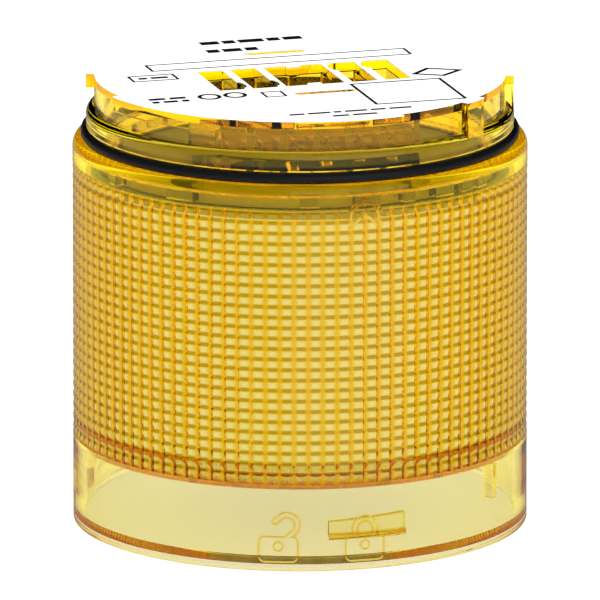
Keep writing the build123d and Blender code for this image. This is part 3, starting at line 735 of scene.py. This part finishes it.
def fill_between(shape, loops):
    """Fills a flat outline and its holes, given as loops of vertices."""
    edges = []
    for loop in loops:
        for i, vertex in enumerate(loop):
            other = loop[(i + 1) % len(loop)]
            edge = shape.edges.get((vertex, other)) or shape.edges.new((vertex, other))
            edges.append(edge)
    bmesh.ops.triangle_fill(shape, use_beauty=True, use_dissolve=False, edges=edges)


def flat_solid(outline, holes, low, high):
    """Points and faces of a plate of this outline with holes."""
    shape = bmesh.new()
    levels = []
    for height in (low, high):
        loops = [[shape.verts.new((x, y, height)) for x, y in loop] for loop in [outline] + holes]
        fill_between(shape, loops)
        levels.append(loops)
    for below, above in zip(*levels):
        for i, vertex in enumerate(below):
            j = (i + 1) % len(below)
            shape.faces.new((vertex, below[j], above[j], above[i]))
    shape.verts.index_update()
    points = [vertex.co.copy() for vertex in shape.verts]
    faces = [[vertex.index for vertex in face.verts] for face in shape.faces]
    shape.free()
    return points, faces


# ---------------------------------------------------------------- neck
def neck_rings():
    edges = [edge for gap in gaps for edge in gap] + [STOP_END, FREE_END, GUARD_END]
    edges += [key + turn for turn in (0, 180) for span in KEYS for key in span]
    angles = spread_angles(300, steps=edges)
    open_span = np.zeros(len(angles), bool)
    for start, end in gaps + [(STOP_END, FREE_END)]:
        open_span |= in_span(angles, start, end)
    blocks = in_span(angles, gaps[0][1], STOP_END) | in_span(angles, FREE_END, GUARD_END)
    keyed = np.zeros(len(angles), bool)
    for turn in (0, 180):
        for start, end in KEYS:
            keyed |= in_span(angles, start + turn, end + turn)
    tail = np.where(keyed, key_r, tail_r)
    rim = np.where(open_span, neck_r, plug_r)
    block_r = plug_r - BLOCK_INSET
    rings = [(angles, tail_r - NECK_WALL, tail_z), (angles, tail_r, tail_z), (angles, tail_r, roof_z - KEY_H),
             (angles, tail, roof_z - KEY_H), (angles, tail, roof_z - SEAL_GAP),
             (angles, tail_r, roof_z - SEAL_GAP), (angles, tail_r, seat_z + SEAL_GAP),
             (angles, neck_r, seat_z + SEAL_GAP), (angles, neck_r, collar_z), (angles, plug_r, collar_z),
             (angles, plug_r, collar_z + COLLAR_H)]
    for part in range(1, 7):
        turn = math.pi / 2 * part / 6
        radius = plug_r - STEP_D + STEP_D * math.cos(turn)
        height = collar_z + COLLAR_H + STEP_D * math.sin(turn)
        rings.append((angles, np.where(blocks, block_r, radius), height))
    recess = np.where(blocks, block_r, neck_r)
    rim = np.where(blocks, block_r, rim)
    rings += [(angles, recess, rim_z), (angles, rim, rim_z), (angles, rim, top_z)]
    return rings, angles


def neck_piece():
    rings, angles = neck_rings()
    inner = [(angles, tail_r - NECK_WALL, seat_z), (angles, neck_r - NECK_WALL, seat_z),
             (angles, neck_r - NECK_WALL, top_under)]
    outside, outside_faces, starts = ring_mesh(rings, closed=False)
    inside, inside_faces, inner_starts = ring_mesh([rings[0]] + inner, closed=False)
    shape = bmesh.new()
    outer_verts = [shape.verts.new(p) for p in outside]
    inner_verts = [shape.verts.new(p) for p in inside]
    for face in outside_faces:
        shape.faces.new([outer_verts[i] for i in face])
    for face in inside_faces:
        shape.faces.new([inner_verts[i] for i in reversed(face)])
    count = len(angles)
    windows = window_outlines()
    inner_rim = inner_verts[inner_starts[-1]:inner_starts[-1] + count]
    rims = (inner_rim, outer_verts[starts[-1]:starts[-1] + count])
    levels = []
    for rim, height in zip(rims, (top_under, top_z)):
        loops = [[shape.verts.new((x, y, height)) for x, y in loop] for loop in windows]
        fill_between(shape, [rim] + loops)
        levels.append(loops)
    for below, above in zip(*levels):
        for i, vertex in enumerate(below):
            j = (i + 1) % len(below)
            shape.faces.new((vertex, below[j], above[j], above[i]))
    shape.verts.index_update()
    points = [vertex.co.copy() for vertex in shape.verts]
    faces = [[vertex.index for vertex in face.verts] for face in shape.faces]
    shape.free()
    return make_piece("neck_shell", points, faces, amber_neck, ("neck_housing",))


neck_piece()


# ---------------------------------------------------------------- seal ring
def seal_piece():
    angles = spread_angles(360)
    rings = []
    for part in range(24):
        turn = 2 * math.pi * part / 24
        rings.append((angles, seal_mid_r + seal_r * math.cos(turn), seal_z + seal_r * math.sin(turn)))
    points, faces, _ = ring_mesh(rings)
    return make_piece("seal_ring", points, faces, materials["seal_rubber"], ("o_ring",))


seal_piece()


# ---------------------------------------------------------------- label and its print
INK_T = 0.02 * MM


def film_outline():
    outline = []
    for angle in spread_angles(360, steps=[edge for gap in gaps for edge in gap] + [STOP_END, FREE_END]):
        cut = any(in_span(np.array([angle]), start, end)[0] for start, end in gaps + [(STOP_END, FREE_END)])
        radius = neck_r if cut else plug_r
        outline.append((radius * math.sin(math.radians(angle)), -radius * math.cos(math.radians(angle))))
    return outline


film_top = film_high.z - INK_T
film_points, film_faces = flat_solid(film_outline(), window_outlines(), film_low.z + SEAL_GAP, film_top)
make_piece("label_film", film_points, film_faces, materials["label_film"], ("label",))


def frame_print(low_x, low_y, high_x, high_y, line):
    """A printed outline of a box."""
    outer = box_outline(low_x - line / 2, low_y - line / 2, high_x + line / 2, high_y + line / 2)
    inner = box_outline(low_x + line / 2, low_y + line / 2, high_x - line / 2, high_y - line / 2)
    return outer, [inner]


def dash_row(mid_x, mid_y, total, height, lengths, gap):
    """A row of plain dashes where a line of type would be."""
    scale = (total - gap * (len(lengths) - 1)) / sum(lengths)
    x = mid_x - total / 2
    row = []
    for length in lengths:
        width = length * scale
        row.append((box_outline(x, mid_y - height / 2, x + width, mid_y + height / 2), []))
        x += width + gap
    return row


def print_shapes():
    shapes = [frame_print(-18.5 * MM, 5.8 * MM, 17.0 * MM, 9.2 * MM, 0.36 * MM),
              frame_print(4.4 * MM, -20.5 * MM, 16.5 * MM, -8.7 * MM, 0.42 * MM)]
    shapes += dash_row(-1.1 * MM, 19.3 * MM, 14.0 * MM, 1.7 * MM, (3, 2, 4, 2, 3), 0.5 * MM)
    shapes += dash_row(-5.0 * MM, 14.7 * MM, 7.0 * MM, 1.7 * MM, (2, 3, 2), 0.5 * MM)
    shapes += dash_row(0.0, -23.2 * MM, 16.6 * MM, 0.75 * MM, (2, 3, 1, 3, 2, 3), 0.5 * MM)
    shapes += dash_row(0.0, -25.3 * MM, 6.0 * MM, 0.75 * MM, (2, 3), 0.5 * MM)
    shapes.append(frame_print(-22.5 * MM, 0.6 * MM, -16.5 * MM, 3.6 * MM, 0.35 * MM))
    shapes += dash_row(-19.5 * MM, 2.1 * MM, 4.0 * MM, 0.9 * MM, (1, 2), 0.5 * MM)
    shapes += dash_row(-21.0 * MM, -9.8 * MM, 5.0 * MM, 1.0 * MM, (2, 2), 0.6 * MM)
    shapes += dash_row(-21.0 * MM, -11.5 * MM, 5.0 * MM, 1.0 * MM, (1, 2, 1), 0.6 * MM)
    for x in (-15.4, -11.9):
        shapes.append((arc_points(x * MM, -10.3 * MM, 1.6 * MM, 1.6 * MM, 0, 350, 35),
                       [arc_points(x * MM, -10.3 * MM, 1.05 * MM, 1.05 * MM, 0, 350, 35)]))
    shapes.append(frame_print(-8.2 * MM, -12.6 * MM, -5.6 * MM, -9.8 * MM, 0.34 * MM))
    rhomb = [(13.6, -5.4), (17.6, -7.6), (21.0, -4.8), (16.6, -2.4)]
    middle = (17.2, -5.05)
    small = [(middle[0] + (x - middle[0]) * 0.72, middle[1] + (y - middle[1]) * 0.72) for x, y in rhomb]
    shapes.append(([(x * MM, y * MM) for x, y in rhomb], [[(x * MM, y * MM) for x, y in small]]))
    return shapes


def label_print():
    points, faces = [], []
    for outline, holes in print_shapes():
        more_points, more_faces = flat_solid(outline, holes, film_top + INK_T / 10, film_high.z)
        faces += [[i + len(points) for i in face] for face in more_faces]
        points += more_points
    return make_piece("label_print", points, faces, ink)


label_print()

# ---------------------------------------------------------------- floor, light and camera
FLOOR_GAP = 0.05 * MM
FLOOR_ALBEDO = 0.8
FLOOR_GLOW = 0.58
CARD_GLOW = 0.25
SKY_STRENGTH = 1.1
PANEL_POWER = 1.6


def stage_plane(name, height, albedo, emission):
    """A wide level plane that gives off an even white light of its own."""
    mesh = bpy.data.meshes.new(name)
    side = 3.0
    corners = [(-side, -side, height), (side, -side, height), (side, side, height), (-side, side, height)]
    mesh.from_pydata(corners, [], [(0, 1, 2, 3)])
    material, nodes, links, shader, _ = new_material(name + "_white")
    shader.inputs["Base Color"].default_value = (albedo, albedo, albedo, 1.0)
    shader.inputs["Specular IOR Level"].default_value = 0.0
    shader.inputs["Emission Color"].default_value = (1.0, 1.0, 1.0, 1.0)
    shader.inputs["Emission Strength"].default_value = emission
    vary_roughness(nodes, links, shader, 20.0, 0.8, 0.9)
    mesh.materials.append(material)
    plane = bpy.data.objects.new(name, mesh)
    bpy.context.collection.objects.link(plane)
    return plane


def floor():
    """The floor, and just under it a dimmer card that takes its place in reflections only."""
    stage_plane("floor", -FLOOR_GAP, FLOOR_ALBEDO, FLOOR_GLOW).visible_glossy = False
    card = stage_plane("reflection_card", -2 * FLOOR_GAP, 0.0, CARD_GLOW)
    card.visible_camera = False
    card.visible_diffuse = False
    card.visible_transmission = False
    card.visible_shadow = False


def panel(name, azimuth, elevation, distance, width, height, power):
    """A soft light panel that faces the object. Angles are in degrees, azimuth from the front towards +X."""
    data = bpy.data.lights.new(name, "AREA")
    data.shape = "RECTANGLE"
    data.size = width
    data.size_y = height
    data.energy = power
    lamp = bpy.data.objects.new(name, data)
    turn, rise = math.radians(azimuth), math.radians(elevation)
    out = Vector((math.sin(turn) * math.cos(rise), -math.cos(turn) * math.cos(rise), math.sin(rise)))
    place = out * distance
    place.z += lip_z / 2
    lamp.location = place
    lamp.rotation_euler = (Vector((0, 0, lip_z / 2)) - place).to_track_quat("-Z", "Y").to_euler()
    bpy.context.collection.objects.link(lamp)


def surroundings(strength):
    world = bpy.data.worlds.new("studio")
    world.use_nodes = True
    world.node_tree.nodes["Background"].inputs["Color"].default_value = (1.0, 1.0, 1.0, 1.0)
    world.node_tree.nodes["Background"].inputs["Strength"].default_value = strength
    world.cycles_visibility.glossy = False
    bpy.context.scene.world = world


CAMERA_AZIMUTH = -16.5
CAMERA_ELEVATION = 14.03
CAMERA_DISTANCE = 2.324
CAMERA_LENS = 1056.0
ORBIT_Z = 26.0 * MM
AIM_Z = 29.1 * MM


def camera():
    data = bpy.data.cameras.new("camera")
    data.sensor_width = 36.0
    data.lens = CAMERA_LENS
    eye = bpy.data.objects.new("camera", data)
    turn, rise = math.radians(CAMERA_AZIMUTH), math.radians(CAMERA_ELEVATION)
    back = Vector((math.sin(turn) * math.cos(rise), -math.cos(turn) * math.cos(rise), math.sin(rise)))
    eye.location = Vector((0, 0, ORBIT_Z)) + back * CAMERA_DISTANCE
    eye.rotation_euler = (Vector((0, 0, AIM_Z)) - eye.location).to_track_quat("-Z", "Y").to_euler()
    bpy.context.collection.objects.link(eye)
    bpy.context.scene.camera = eye


floor()
surroundings(SKY_STRENGTH)
panel("key_panel", azimuth=10.0, elevation=25.0, distance=1.2, width=1.4, height=0.9, power=PANEL_POWER)
camera()

scene = bpy.context.scene
scene.view_settings.view_transform = "Standard"
scene.cycles.max_bounces = 32
scene.cycles.transmission_bounces = 32
scene.cycles.glossy_bounces = 24
scene.cycles.diffuse_bounces = 4
scene.cycles.volume_bounces = 0
scene.cycles.use_denoising = True
